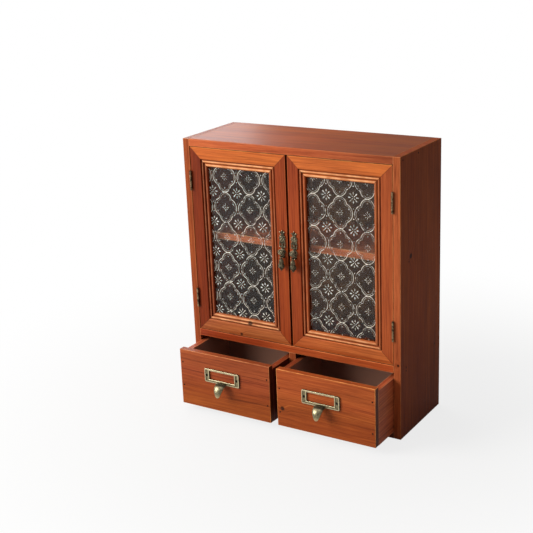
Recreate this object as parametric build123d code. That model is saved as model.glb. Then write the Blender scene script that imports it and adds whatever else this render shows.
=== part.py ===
from build123d import *
import os

os.makedirs("parts", exist_ok=True)

# Desktop cabinet in stained pine: a pair of glazed doors over two small drawers.
# Millimetres, +X right, +Y back, +Z up. The origin is the centre of the underside.
# At rest the doors are shut and both drawers stand partly open.

# ---- Carcass ----
WIDTH = 360.0
DEPTH = 138.0
HEIGHT = 420.0
BOARD = 11.0  # side, top, middle and partition boards
BOTTOM_BOARD = 10.0
BACK_PLY = 4.0
REBATE = 5.5  # how far the back panel laps onto the sides and the top
EASING = 0.5  # radius on the edges of every board
TOP_ARRIS = 1.4  # softer radius along the front of the top panel
DRAWER_BAY = 94.0  # clear height under the middle panel
SHELF_UNDERSIDE = 262.5
SHELF_SET_BACK = 18.0

# ---- Doors ----
HINGE_GAP = 1.0
MEETING_GAP = 3.6
DOOR_GAP = 1.0  # above and below each door
DOOR_SET_BACK = 0.5
DOOR_THICKNESS = 13.0
FRAME_FACE = 29.2  # width of each rail and stile
FLAT_BAND = 18.0  # plain outer part of that width
BAND_ARRIS = 1.2  # roundness of its inner edge
OUTER_BEAD = (19.4, 22.6)
INNER_BEAD = 24.1  # where it starts; it ends at the glass
BEAD_VALLEYS = (2.0, 2.6)  # depth of the groove beside each bead
BEAD_EDGES = (1.4, 3.6)  # depth of each bead's inner edge
GLASS_SEAT = 5.0  # from the door's front face to the glass
GLASS_LAP = 5.5  # width of the glazing rebate
GLASS_THICKNESS = 3.0
GLAZING_ROUND = 1.8  # roundness of the beads behind the glass

# ---- Hinges ----
LEAF_HEIGHT = 30.0
LEAF_DEPTH = 9.0
LEAF_THICKNESS = 0.8
KNUCKLE_RADIUS = 1.6
KNUCKLES = 5
KNUCKLE_CLEARANCE = 0.3
KNUCKLE_GAP = 0.2
HINGE_PROUD = 1.8  # from the carcass front to the hinge pin's axis
PIN_RADIUS = 0.7
PIN_HEAD_RADIUS = 1.3
PIN_HEAD = 0.5
HINGE_INSET = 37.0  # from a door's end to the near end of its hinge

# ---- Drawers ----
DRAWER_OUT = 58.0  # how far the drawers stand out at rest
DRAWER_LENGTH = 129.0
DRAWER_SIDE_GAP = 0.75
DRAWER_FRONT = 10.0
DRAWER_SIDE = 9.0
DRAWER_FRONT_HEIGHT = 91.0
DRAWER_SIDE_HEIGHT = 85.5
DRAWER_FLOOR = 3.0
FLOOR_LIFT = 5.0
GROOVE = 4.0
DRAWER_BRADS = {  # heights of the brads through each front, by the side that they hold
    "left": {"inner": (38.0, 80.0), "outer": (42.0, 80.5)},
    "right": {"inner": (33.0, 71.0), "outer": (32.0, 81.0)},
}
DRAWER_BACK_BRADS = (36.0, 76.0)

# ---- Drawer pulls ----
CARD_FRAME_WIDTH = 62.6
CARD_FRAME_HEIGHT = 21.8
CARD_FRAME_DEPTH = 2.4
CARD_FRAME_CENTRE = 67.7  # height of its centre above the base
CARD_WINDOW = (45.8, 14.0)
CARD_WINDOW_LIFT = 1.0  # its centre above the frame's centre
CARD_CORNER = 2.4
CARD_OUTER_RIM = 1.8  # raised rims around the sunken field that holds the screws
CARD_INNER_RIM = 1.7
CARD_SLOT = 0.8  # room for a label behind the frame
CARD_SLOT_LAP = 1.2
FIELD_SUNK = 0.8
TONGUE_WALL = 1.3
TONGUE_HOLLOW = (1.2, 2.6)  # how far down and back the scoop behind it lies
TONGUE = (  # ellipses: out from the wood, below the frame, dip of the path, half width, half depth
    (0.9, -0.9, 10, 8.6, 1.7),
    (5.9, -0.5, 25, 8.6, 2.4),
    (10.9, 2.2, 48, 8.1, 3.4),
    (13.9, 7.0, 70, 6.7, 3.7),
    (15.1, 12.1, 82, 4.7, 3.0),
    (15.5, 15.3, 88, 2.8, 2.0),
    (15.5, 16.3, 90, 1.4, 1.4),
)
CARD_HOLES = 54.6
PULL_OFFSET = {"left": -3.5, "right": -6.5}  # from the middle of each drawer

# ---- Door pulls ----
PULL_X = 10.0
ROSETTE_Z = 263.5
DROP_PIVOT_DROP = 8.0  # from the rosette's centre down to the drop's pivot
DROP_PIVOT_OUT = 5.6  # from the door's face to the drop's pivot
DROP_LENGTH = 20.5
DROP_DEPTH = 6.8
PULL_PLATE = 1.6  # thickness of the backplate
EAR_RADIUS = 1.5
EAR_X = 2.75  # from the middle to each ear that carries the drop
ROSETTE_OUT = 6.6  # from the door's face to the back of the petals
PULL_PIN_HEIGHTS = (30.8, -DROP_PIVOT_DROP)  # from the rosette's centre

# ---- Magnetic catch ----
CATCH_CASE = (56.0, 12.0, 10.0)
CATCH_X = 14.0  # from the middle to each magnet
CATCH_GAP = 1.0  # from the doors' backs to the case
CATCH_SCREW_X = 24.0
MAGNET = (12.0, 3.0, 7.0)
STRIKE = (13.0, 0.8, 8.5)
STRIKE_DROP = 6.2  # from the top panel's underside to the strike's centre

# ---- Fixings ----
BRAD_RADIUS = 0.8
BRAD_LENGTH = 24.0
BRAD_SUNK = 0.8
SCREW_RADIUS = 1.0
SCREW_HEAD = 2.0
SCREW_HEAD_DEPTH = 1.0
SLOT = 0.5  # width and depth of a screw's slot
RUNNING = 0.05  # radial clearance of a running fit

# ---- Places that follow from the sizes above ----
FRONT = -DEPTH / 2
REAR = DEPTH / 2
INNER = WIDTH / 2 - BOARD
BACK_FACE = REAR - BACK_PLY
TOP_UNDERSIDE = HEIGHT - BOARD
MIDDLE_BOTTOM = BOTTOM_BOARD + DRAWER_BAY
MIDDLE_TOP = MIDDLE_BOTTOM + BOARD
DOOR_FACE = FRONT + DOOR_SET_BACK
DOOR_BACK = DOOR_FACE + DOOR_THICKNESS
DOOR_LOW = MIDDLE_TOP + DOOR_GAP
DOOR_HIGH = TOP_UNDERSIDE - DOOR_GAP
DOOR_X = (MEETING_GAP / 2, INNER - HINGE_GAP)
DOOR_WIDTH = DOOR_X[1] - DOOR_X[0]
DOOR_HEIGHT = DOOR_HIGH - DOOR_LOW
DOOR_CENTRE = (sum(DOOR_X) / 2, (DOOR_LOW + DOOR_HIGH) / 2)
AXIS_X = INNER - HINGE_GAP / 2
AXIS_Y = FRONT - HINGE_PROUD
HINGE_CENTRES = {
    "upper": DOOR_HIGH - HINGE_INSET - LEAF_HEIGHT / 2,
    "lower": DOOR_LOW + HINGE_INSET + LEAF_HEIGHT / 2,
}
DRAWER_X = (BOARD / 2 + DRAWER_SIDE_GAP, INNER - DRAWER_SIDE_GAP)
DRAWER_FACE = FRONT - DRAWER_OUT
DRAWER_END = DRAWER_FACE + DRAWER_LENGTH
DRAWER_FRONT_LOW = BOTTOM_BOARD + 0.5
SHELF_MIDDLE = SHELF_UNDERSIDE + BOARD / 2
CATCH_FACE = DOOR_BACK + CATCH_GAP
STRIKE_Z = TOP_UNDERSIDE - STRIKE_DROP

BOTTOM_UP = (Align.CENTER, Align.CENTER, Align.MIN)


def span(x, y, z):
    """Box between two limits on each axis."""
    limits = (x, y, z)
    centre = [(low + high) / 2 for low, high in limits]
    sizes = [high - low for low, high in limits]
    return Pos(*centre) * Box(*sizes)


def board(x, y, z):
    """Plain board with lightly eased edges."""
    plank = span(x, y, z)
    return fillet(plank.edges(), EASING)


def rod(start, direction, radius, length):
    """Round rod that runs from a point along a direction."""
    return Plane(origin=start, z_dir=direction) * Cylinder(radius, length, align=BOTTOM_UP)


def flat_head(head_at, direction, length, radius=SCREW_RADIUS, head=SCREW_HEAD):
    """Countersunk fixing whose flat head is at a point, driven along a direction."""
    cone = Cone(head, radius, SCREW_HEAD_DEPTH, align=BOTTOM_UP)
    shank = Pos(0, 0, SCREW_HEAD_DEPTH) * Cylinder(radius, length - SCREW_HEAD_DEPTH, align=BOTTOM_UP)
    return Plane(origin=head_at, z_dir=direction) * (cone + shank)


def slotted(fixing, head_at, direction):
    """Cut a screwdriver slot across a fixing's head."""
    slot = Box(3 * SCREW_HEAD, SLOT, 2 * SLOT)
    return fixing - Plane(origin=head_at, z_dir=direction) * slot


def brad_hole(start, direction):
    """Everything that a sunken brad takes out of the wood."""
    return rod(start, direction, BRAD_RADIUS, BRAD_SUNK + BRAD_LENGTH)


def brad(start, direction):
    """Brad whose head lies just under the surface at a point."""
    place = Vector(*start) + Vector(*direction) * BRAD_SUNK
    return rod(place, direction, BRAD_RADIUS, BRAD_LENGTH)


def cut(shape, tools):
    """Take several tools out of a shape."""
    for tool in tools:
        shape = shape - tool
    return shape


def group(solids):
    """Separate solids that share one node."""
    return Compound(children=[item for solid in solids for item in solid.solids()])


# ---- Carcass boards -------------------------------------------------------

def back_rebate():
    """Room for the back panel in the sides and the top."""
    edge = INNER + REBATE
    return span((-edge, edge), (BACK_FACE, REAR), (0, TOP_UNDERSIDE + REBATE))


def carcass_brad_places():
    """Where brads pass through each side panel: a height and distances from the front."""
    rows = [
        (HEIGHT - BOARD / 2, (8, 58, 112)),
        (SHELF_MIDDLE, (27.5, 72, 118)),
        (MIDDLE_TOP - BOARD / 2, (18.5, 69, 119.5)),
        (BOTTOM_BOARD / 2, (18.5, 69, 119.5)),
    ]
    return [(FRONT + back, height) for height, distances in rows for back in distances]


def carcass_brads(side, shape):
    """Brads, or their holes, along one side panel."""
    outside = side * WIDTH / 2
    return [shape((outside, y, z), (-side, 0, 0)) for y, z in carcass_brad_places()]


def back_nail_places():
    """Where the back panel is nailed on: X and Z."""
    side_x = INNER + REBATE / 2
    top_z = TOP_UNDERSIDE + REBATE / 2
    along_top = [(x, top_z) for x in (-120, 0, 120)]
    along_sides = [(side * side_x, z) for side in (-1, 1) for z in (60, 190, 330)]
    heights = (BOTTOM_BOARD / 2, MIDDLE_TOP - BOARD / 2, SHELF_MIDDLE)
    along_boards = [(x, z) for x in (-85, 85) for z in heights]
    return along_top + along_sides + along_boards


def back_nails():
    """Flat-headed nails through the back panel."""
    return [flat_head((x, REAR, z), (0, -1, 0), 14, 0.7, 1.5) for x, z in back_nail_places()]


def build_carcass():
    """Every board of the carcass with its brads and nails."""
    holes = carcass_brads(-1, brad_hole) + carcass_brads(1, brad_hole)
    nails = back_nails()
    inside = (-INNER, INNER)
    top = span(inside, (FRONT, REAR), (TOP_UNDERSIDE, HEIGHT))
    front_top = top.edges().filter_by(Axis.X).group_by(Axis.Z)[-1].sort_by(Axis.Y)[0]
    top = fillet(front_top, TOP_ARRIS) - back_rebate()
    boards = {
        "top_panel": top,
        "shelf": board(inside, (FRONT + SHELF_SET_BACK, BACK_FACE),
                       (SHELF_UNDERSIDE, SHELF_UNDERSIDE + BOARD)),
        "middle_panel": board(inside, (FRONT - 0.5, BACK_FACE), (MIDDLE_BOTTOM, MIDDLE_TOP)),
        "bottom_panel": board(inside, (FRONT, BACK_FACE), (0, BOTTOM_BOARD)),
        "drawer_partition": board((-BOARD / 2, BOARD / 2), (FRONT, BACK_FACE),
                                  (BOTTOM_BOARD, MIDDLE_BOTTOM)),
    }
    for name, side in (("left", -1), ("right", 1)):
        faces = sorted((side * INNER, side * WIDTH / 2))
        panel = board(faces, (FRONT, REAR), (0, HEIGHT)) - back_rebate()
        boards["side_panel_" + name] = panel
    edge = INNER + REBATE
    back = span((-edge, edge), (BACK_FACE, REAR), (1, TOP_UNDERSIDE + REBATE))
    boards = {name: cut(item, holes + nails) for name, item in boards.items()}
    boards["back_panel"] = cut(back, nails)
    boards["carcass_brads"] = group(carcass_brads(-1, brad) + carcass_brads(1, brad))
    boards["back_panel_nails"] = group(nails)
    return boards


# ---- Hinges, modelled on the right and mirrored ---------------------------

def hinge_barrel(low, high, radius):
    """Round bar about the hinge's axis."""
    return rod((AXIS_X, AXIS_Y, low), (0, 0, 1), radius, high - low)


def hinge_zones(centre):
    """Heights of the knuckles from the bottom up, with a gap between neighbours."""
    pitch = LEAF_HEIGHT / KNUCKLES
    gap = KNUCKLE_GAP / 2
    ends = [centre - LEAF_HEIGHT / 2 + pitch * step for step in range(KNUCKLES + 1)]
    zones = list(zip(ends, ends[1:]))
    return [(low + gap * (low > ends[0]), high - gap * (high < ends[-1])) for low, high in zones]


def hinge_leaf(centre, plate_x, own_zones, other_zones, bore):
    """Leaf with knuckles in its own zones, cut clear of the other leaf's knuckles."""
    low, high = centre - LEAF_HEIGHT / 2, centre + LEAF_HEIGHT / 2
    leaf = span(plate_x, (AXIS_Y, FRONT + LEAF_DEPTH), (low, high))
    for start, end in other_zones:
        room = hinge_barrel(start - KNUCKLE_GAP, end + KNUCKLE_GAP, KNUCKLE_RADIUS + KNUCKLE_CLEARANCE)
        leaf = leaf - room
    for start, end in own_zones:
        leaf = leaf + hinge_barrel(start, end, KNUCKLE_RADIUS)
    return leaf - hinge_barrel(low - 1, high + 1, bore)


def hinge_pin(centre):
    """Pin with a small round head beyond each end of the knuckles."""
    low, high = centre - LEAF_HEIGHT / 2, centre + LEAF_HEIGHT / 2
    pin = hinge_barrel(low, high, PIN_RADIUS)
    pin = pin + hinge_barrel(low - PIN_HEAD, low, PIN_HEAD_RADIUS)
    return pin + hinge_barrel(high, high + PIN_HEAD, PIN_HEAD_RADIUS)


def hinge_screws(centre, head_x, direction):
    """Two screws in one leaf."""
    heads = [(head_x, FRONT + LEAF_DEPTH * 0.55, centre + dz) for dz in (-9, 9)]
    aim = (direction, 0, 0)
    return [(flat_head(head, aim, 7.5), head, aim) for head in heads]


def build_hinge(centre):
    """Both leaves, the pin and the screws of one hinge."""
    zones = hinge_zones(centre)
    frame_zones, door_zones = zones[::2], zones[1::2]
    frame_x = (INNER, INNER + LEAF_THICKNESS)
    door_x = (DOOR_X[1] - LEAF_THICKNESS, DOOR_X[1])
    frame_leaf = hinge_leaf(centre, frame_x, frame_zones, door_zones, PIN_RADIUS)
    door_leaf = hinge_leaf(centre, door_x, door_zones, frame_zones, PIN_RADIUS + RUNNING)
    frame_screws = hinge_screws(centre, frame_x[0], 1)
    door_screws = hinge_screws(centre, door_x[1], -1)
    z = (centre - LEAF_HEIGHT / 2, centre + LEAF_HEIGHT / 2)
    y = (FRONT - 1, FRONT + LEAF_DEPTH)
    return {
        "frame_leaf": cut(frame_leaf, [screw for screw, _, _ in frame_screws]),
        "door_leaf": cut(door_leaf, [screw for screw, _, _ in door_screws]),
        "pin": hinge_pin(centre),
        "frame_screws": frame_screws,
        "door_screws": door_screws,
        "frame_pocket": span(frame_x, y, z),
        "door_pocket": span(door_x, y, z),
    }


# ---- Magnetic catch -------------------------------------------------------

def build_catch():
    """Catch case under the top panel, its two magnets and its two screws."""
    width, depth, height = CATCH_CASE
    underside = TOP_UNDERSIDE - height
    case = span((-width / 2, width / 2), (CATCH_FACE, CATCH_FACE + depth), (underside, TOP_UNDERSIDE))
    case = fillet(case.edges().filter_by(Axis.Z), 1.5)
    magnets = [Pos(x, CATCH_FACE + MAGNET[1] / 2, STRIKE_Z + 0.5) * Box(*MAGNET)
               for x in (-CATCH_X, CATCH_X)]
    heads = [(x, CATCH_FACE + depth / 2, underside) for x in (-CATCH_SCREW_X, CATCH_SCREW_X)]
    screws = [(flat_head(head, (0, 0, 1), 15), head, (0, 0, 1)) for head in heads]
    tools = magnets + [screw for screw, _, _ in screws]
    return cut(case, tools), magnets, screws


def build_strike():
    """Steel strike plate on the back of the right door, and its screw."""
    width, thickness, height = STRIKE
    centre = (CATCH_X, DOOR_BACK + thickness / 2, STRIKE_Z)
    plate = Pos(*centre) * Box(width, thickness, height)
    plate = fillet(plate.edges().filter_by(Axis.Y), 1.2)
    head = (CATCH_X, DOOR_BACK + thickness, STRIKE_Z)
    screw = flat_head(head, (0, -1, 0), 8)
    return plate - screw, (screw, head, (0, -1, 0))


# ---- Doors, modelled on the right and mirrored ----------------------------

def frame_section():
    """Cross-section of a door member: X runs in from its outer edge, Y runs back."""
    start, end = OUTER_BEAD
    outer_valley, inner_valley = BEAD_VALLEYS
    outer_edge, inner_edge = BEAD_EDGES
    rebate = FRAME_FACE - GLASS_LAP
    band = FLAT_BAND - BAND_ARRIS
    arris = ThreePointArc((band, 0), (band + 0.7 * BAND_ARRIS, 0.3 * BAND_ARRIS), (FLAT_BAND, BAND_ARRIS))
    groove = Polyline((FLAT_BAND, BAND_ARRIS), (FLAT_BAND, outer_valley), (start, outer_valley))
    outer_bead = ThreePointArc((start, outer_valley), ((start + end) / 2, 0.4), (end, outer_edge))
    step = Polyline((end, outer_edge), (end, inner_valley), (INNER_BEAD, inner_valley))
    middle = (INNER_BEAD + FRAME_FACE) / 2 - 0.2
    inner_bead = ThreePointArc((INNER_BEAD, inner_valley), (middle, 1.0), (FRAME_FACE, inner_edge))
    body = Polyline((FRAME_FACE, inner_edge), (FRAME_FACE, GLASS_SEAT), (rebate, GLASS_SEAT),
                    (rebate, DOOR_THICKNESS), (0, DOOR_THICKNESS), (0, 0), (band, 0))
    lines = groove.edges() + step.edges() + body.edges()
    return make_face(lines + [arris.edge(), outer_bead.edge(), inner_bead.edge()])


def bead_section():
    """Cross-section of a glazing bead behind the glass, with a rounded inner corner."""
    low, high = FRAME_FACE - GLASS_LAP, FRAME_FACE - 0.5
    near, far = GLASS_SEAT + GLASS_THICKNESS, DOOR_THICKNESS
    line = Polyline((high - GLAZING_ROUND, far), (low, far), (low, near), (high, near),
                    (high, far - GLAZING_ROUND))
    middle = 0.3 * GLAZING_ROUND
    corner = ThreePointArc((high, far - GLAZING_ROUND), (high - middle, far - middle),
                           (high - GLAZING_ROUND, far))
    return make_face(line.edges() + [corner.edge()])


def side_view(x):
    """Plane across X at a distance, on which a sketch's X runs up and its Y runs back."""
    return Plane(origin=(x, 0, 0), x_dir=(0, 0, 1), z_dir=(-1, 0, 0))


def mitred_member(section, length, edge_distance):
    """Member along X, mitred at both ends, with its outer edge that far below the centre."""
    half = length / 2
    deep = FRAME_FACE + 1
    stick = extrude(side_view(half) * section, length)
    outline = Polyline((-half, 0), (half, 0), (half - deep, deep), (deep - half, deep), close=True)
    wedge = extrude(Plane.XZ * make_face(outline), DOOR_THICKNESS + 1, both=True)
    return Pos(0, 0, -edge_distance) * (stick & wedge)


def door_frame(section):
    """Four mitred members about the right door's centre: rails, then stiles."""
    centre = Pos(DOOR_CENTRE[0], DOOR_FACE, DOOR_CENTRE[1])
    rail = mitred_member(section, DOOR_WIDTH, DOOR_HEIGHT / 2)
    stile = mitred_member(section, DOOR_HEIGHT, DOOR_WIDTH / 2)
    return {
        "bottom_rail": centre * rail,
        "top_rail": centre * Rot(0, 180, 0) * rail,
        "meeting_stile": centre * Rot(0, 90, 0) * stile,
        "hinge_stile": centre * Rot(0, -90, 0) * stile,
    }


def build_glass():
    """Pane that lies in the glazing rebate."""
    lap = 2 * (GLASS_LAP - 0.5) - 2 * FRAME_FACE
    size = (DOOR_WIDTH + lap, GLASS_THICKNESS, DOOR_HEIGHT + lap)
    place = (DOOR_CENTRE[0], DOOR_FACE + GLASS_SEAT + GLASS_THICKNESS / 2, DOOR_CENTRE[1])
    return Pos(*place) * Box(*size)


# ---- Door pulls -----------------------------------------------------------

def pull_place():
    """Plane on the door's face at the rosette's centre: X right, Y up, Z out."""
    return Plane(origin=(PULL_X, DOOR_FACE, ROSETTE_Z), x_dir=(1, 0, 0), z_dir=(0, -1, 0))


def petal(x, y, wide, long, angle=0):
    """Elliptical leaf of the backplate, leaning by an angle."""
    return Pos(x, y) * Rot(0, 0, angle) * Ellipse(wide, long)


def plate_outline():
    """Backplate: a fleur, an oval boss, an open loop, the rosette's seat and a tail."""
    outline = petal(0, 27.5, 2.0, 4.0) + petal(0, 20.5, 5.7, 5.6)
    for side in (-1, 1):
        outline = outline + petal(side * 2.9, 26.4, 1.8, 3.6, -side * 32)
        outline = outline + petal(side * 3.4, 11.0, 2.0, 5.6, side * 14)
    outline = outline + Pos(0, 5.6) * Rectangle(6.4, 3.0) + Circle(5.3)
    outline = outline + Pos(0, -6.7) * Rectangle(7.4, 5.8)
    outline = outline + Pos(0, PULL_PIN_HEIGHTS[0]) * Circle(1.9)
    return outline - petal(0, 10.8, 1.7, 2.6)


def dome(radius, height):
    """Low spherical cap that stands on its flat face."""
    ball = (radius**2 + height**2) / (2 * height)
    profile = ThreePointArc((0, height), (radius / 2, height - ball + (ball**2 - radius**2 / 4) ** 0.5),
                            (radius, 0))
    close = Polyline((radius, 0), (0, 0), (0, height))
    return revolve(Plane.XZ * make_face([profile.edge()] + close.edges()), Axis.Z)


def petals(ring, radius):
    """Round centre with eight round petals, as a flat outline."""
    outline = Circle(ring)
    for step in range(8):
        outline = outline + Rot(0, 0, 45 * step) * Pos(ring, 0) * Circle(radius)
    return outline


def rosette():
    """Two tiers of petals and a domed centre on a short post."""
    post = Pos(0, 0, PULL_PLATE) * Cylinder(2.2, ROSETTE_OUT - PULL_PLATE, align=BOTTOM_UP)
    lower = Pos(0, 0, ROSETTE_OUT) * extrude(petals(4.2, 1.6), 1.5)
    upper = Pos(0, 0, ROSETTE_OUT + 1.5) * extrude(petals(2.7, 1.0), 0.8)
    return post + lower + upper + Pos(0, 0, ROSETTE_OUT + 2.3) * dome(2.1, 1.2)


def build_drop():
    """Hanging drop about its pivot: an eye with stub pins, and a bud with two side lobes."""
    across = Rot(0, 90, 0)
    profile = Spline((1.3, -1.9), (3.8, -3.4), (4.3, -8.5), (5.2, -14.5), (4.2, -18.2), (0, -DROP_LENGTH))
    close = Polyline((0, -DROP_LENGTH), (0, -1.2), (1.3, -1.2), (1.3, -1.9))
    bud = revolve(make_face([profile.edge()] + close.edges()), Axis.Y)
    for side in (-1, 1):
        bud = bud + Pos(side * 4.6, -14.4, 0) * Sphere(1.6)
    bud = bud & Pos(0, -DROP_LENGTH / 2, 0.6) * Box(14, DROP_LENGTH + 4, DROP_DEPTH)
    return bud + across * Cylinder(EAR_RADIUS, 3.4) + across * Cylinder(0.6, 6.6)


def build_pull():
    """Backplate with its rosette and ears, the drop, and the two pins, on the right door."""
    place = pull_place()
    pivot = Pos(0, -DROP_PIVOT_DROP, DROP_PIVOT_OUT)
    across = Rot(0, 90, 0)
    body = extrude(plate_outline(), PULL_PLATE) + rosette()
    body = body + Pos(0, 20.5, PULL_PLATE) * dome(4.6, 2.0)
    for side in (-1, 1):
        ear = across * Cylinder(EAR_RADIUS, 1.5)
        web = Pos(0, 0, -DROP_PIVOT_OUT / 2) * Box(1.5, 2 * EAR_RADIUS, DROP_PIVOT_OUT)
        body = body + pivot * Pos(side * EAR_X, 0, 0) * (ear + web)
    body = body - pivot * across * Cylinder(0.6 + RUNNING, 9)
    head_y = DOOR_FACE - PULL_PLATE
    pins = [flat_head((PULL_X, head_y, ROSETTE_Z + up), (0, 1, 0), 9, 0.6, 1.3)
            for up in PULL_PIN_HEIGHTS]
    return cut(place * body, pins), place * pivot * build_drop(), pins


# ---- Card-frame pulls on the drawers --------------------------------------

def card_frame(centre_x):
    """Cast label frame with a scooped finger pull, on a drawer's front."""
    place = Plane(origin=(centre_x, DRAWER_FACE, CARD_FRAME_CENTRE), x_dir=(1, 0, 0), z_dir=(0, -1, 0))
    wide, high = CARD_WINDOW
    lift = Pos(0, CARD_WINDOW_LIFT, 0)
    outline = RectangleRounded(CARD_FRAME_WIDTH, CARD_FRAME_HEIGHT, CARD_CORNER)
    frame = extrude(outline, CARD_FRAME_DEPTH) - lift * Box(wide, high, 3 * CARD_FRAME_DEPTH)
    front = frame.faces().sort_by(Axis.Z)[-1]
    frame = fillet(front.edges(), 0.5)
    inner = lift * Rectangle(wide + 2 * CARD_INNER_RIM, high + 2 * CARD_INNER_RIM)
    field = offset(outline, -CARD_OUTER_RIM) - inner
    frame = frame - Pos(0, 0, CARD_FRAME_DEPTH - FIELD_SUNK) * extrude(field, 2 * FIELD_SUNK)
    frame = frame - lift * Box(wide + 2 * CARD_SLOT_LAP, high + 2 * CARD_SLOT_LAP, 2 * CARD_SLOT)
    body = frame + finger_pull()
    head_out = CARD_FRAME_DEPTH - FIELD_SUNK
    heads = [(centre_x + side * CARD_HOLES / 2, DRAWER_FACE - head_out, CARD_FRAME_CENTRE)
             for side in (-1, 1)]
    screws = [(flat_head(head, (0, 1, 0), 9, 0.8, 1.2), head, (0, 1, 0)) for head in heads]
    return cut(place * body, [screw for screw, _, _ in screws]), screws


def claw(shrink):
    """Tapering horn through ellipses along the tongue's path, made smaller by a margin."""
    sections = []
    for out, drop, dip, half_width, half_depth in TONGUE:
        along = Vector(0, 0, 1).rotate(Axis.X, dip)
        place = Plane(origin=(0, -CARD_FRAME_HEIGHT / 2 - drop, out), x_dir=(1, 0, 0), z_dir=along)
        sections.append(place * Ellipse(half_width - shrink, half_depth - shrink))
    return loft(sections)


def finger_pull():
    """Tongue that leaves the frame's lower rim, swells forward and ends in a round tip."""
    down, back = TONGUE_HOLLOW
    return claw(0) - Pos(0, -down, -back) * claw(TONGUE_WALL)


# ---- Drawers, modelled on the right ---------------------------------------

def build_drawer(front_brads, pull_shift):
    """Boards, brads and pull of a drawer in the right-hand bay."""
    left, right = DRAWER_X
    side_start = DRAWER_FACE + DRAWER_FRONT
    side_z = (BOTTOM_BOARD, BOTTOM_BOARD + DRAWER_SIDE_HEIGHT)
    floor_z = (BOTTOM_BOARD + FLOOR_LIFT, BOTTOM_BOARD + FLOOR_LIFT + DRAWER_FLOOR)
    floor_x = (left + DRAWER_SIDE - GROOVE, right - DRAWER_SIDE + GROOVE)
    floor = span(floor_x, (side_start - GROOVE, DRAWER_END), floor_z)
    front_z = (DRAWER_FRONT_LOW, DRAWER_FRONT_LOW + DRAWER_FRONT_HEIGHT)
    boards = {
        "front": board((left, right), (DRAWER_FACE, side_start), front_z),
        "side_inner": board((left, left + DRAWER_SIDE), (side_start, DRAWER_END), side_z),
        "side_outer": board((right - DRAWER_SIDE, right), (side_start, DRAWER_END), side_z),
        "back": board((left + DRAWER_SIDE, right - DRAWER_SIDE),
                      (DRAWER_END - DRAWER_SIDE, DRAWER_END), (floor_z[1], side_z[1])),
    }
    places = []
    back_y = DRAWER_END - DRAWER_SIDE / 2
    sides = (("inner", left, 1), ("outer", right, -1))
    for name, face, inwards in sides:
        middle = face + inwards * DRAWER_SIDE / 2
        places += [((middle, DRAWER_FACE, z), (0, 1, 0)) for z in front_brads[name]]
        places += [((face, back_y, z), (inwards, 0, 0)) for z in DRAWER_BACK_BRADS]
    holes = [brad_hole(start, aim) for start, aim in places]
    centre_x = (left + right) / 2 + pull_shift
    frame, screws = card_frame(centre_x)
    tools = holes + [floor] + [screw for screw, _, _ in screws]
    drawer = {name: cut(item, tools) for name, item in boards.items()}
    drawer["bottom"] = floor
    drawer["brads"] = group([brad(start, aim) for start, aim in places])
    drawer["card_frame"] = frame
    drawer["card_frame_screws"] = group([slotted(*screw) for screw in screws])
    return drawer


# ---- Assembly -------------------------------------------------------------

def build_door():
    """Every piece of the right door, and what its hinges need in the carcass."""
    hinges = {name: build_hinge(centre) for name, centre in HINGE_CENTRES.items()}
    strike, strike_screw = build_strike()
    plate, drop, pull_pins = build_pull()
    screws = [screw for hinge in hinges.values() for screw in hinge["door_screws"]] + [strike_screw]
    tools = [hinge["door_pocket"] for hinge in hinges.values()]
    tools += [screw for screw, _, _ in screws] + pull_pins
    door = {name: cut(member, tools) for name, member in door_frame(frame_section()).items()}
    door["glass"] = build_glass()
    door["glazing_beads"] = group(door_frame(bead_section()).values())
    for name, hinge in hinges.items():
        door["hinge_leaf_" + name] = hinge["door_leaf"]
    door["screws"] = group([slotted(*screw) for screw in screws])
    door["strike_plate"] = strike
    door["pull_plate"] = plate
    door["pull_pins"] = group(pull_pins)
    door["pull_drop"] = drop
    return door, hinges


def build_cabinet():
    """All the nodes by name."""
    nodes = build_carcass()
    door, hinges = build_door()
    for name, piece in door.items():
        nodes["door_right_" + name] = piece
        nodes["door_left_" + name] = mirror(piece, Plane.YZ)
    frame_screws = [screw for hinge in hinges.values() for screw in hinge["frame_screws"]]
    tools = [hinge["frame_pocket"] for hinge in hinges.values()]
    tools += [screw for screw, _, _ in frame_screws]
    nodes["side_panel_right"] = cut(nodes["side_panel_right"], tools)
    left_tools = [mirror(tool, Plane.YZ) for tool in tools]
    nodes["side_panel_left"] = cut(nodes["side_panel_left"], left_tools)
    for name, hinge in hinges.items():
        nodes["hinge_leaf_right_" + name] = hinge["frame_leaf"]
        nodes["hinge_leaf_left_" + name] = mirror(hinge["frame_leaf"], Plane.YZ)
    pins = [hinge["pin"] for hinge in hinges.values()]
    nodes["hinge_pins"] = group(pins + [mirror(pin, Plane.YZ) for pin in pins])
    case, magnets, catch_screws = build_catch()
    nodes["catch_case"] = case
    nodes["catch_magnets"] = group(magnets)
    nodes["top_panel"] = cut(nodes["top_panel"], [screw for screw, _, _ in catch_screws])
    slots = [slotted(*screw) for screw in frame_screws]
    slots += [mirror(screw, Plane.YZ) for screw in slots]
    nodes["carcass_screws"] = group(slots + [slotted(*screw) for screw in catch_screws])
    for name, piece in build_drawer(DRAWER_BRADS["right"], PULL_OFFSET["right"]).items():
        nodes["drawer_right_" + name] = piece
    for name, piece in build_drawer(DRAWER_BRADS["left"], -PULL_OFFSET["left"]).items():
        nodes["drawer_left_" + name] = mirror(piece, Plane.YZ)
    return nodes


for node, shape in build_cabinet().items():
    shape.label = node
    export_step(shape, f"parts/{node}.step")
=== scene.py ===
import math

import bpy
from mathutils import Matrix, Vector


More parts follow.
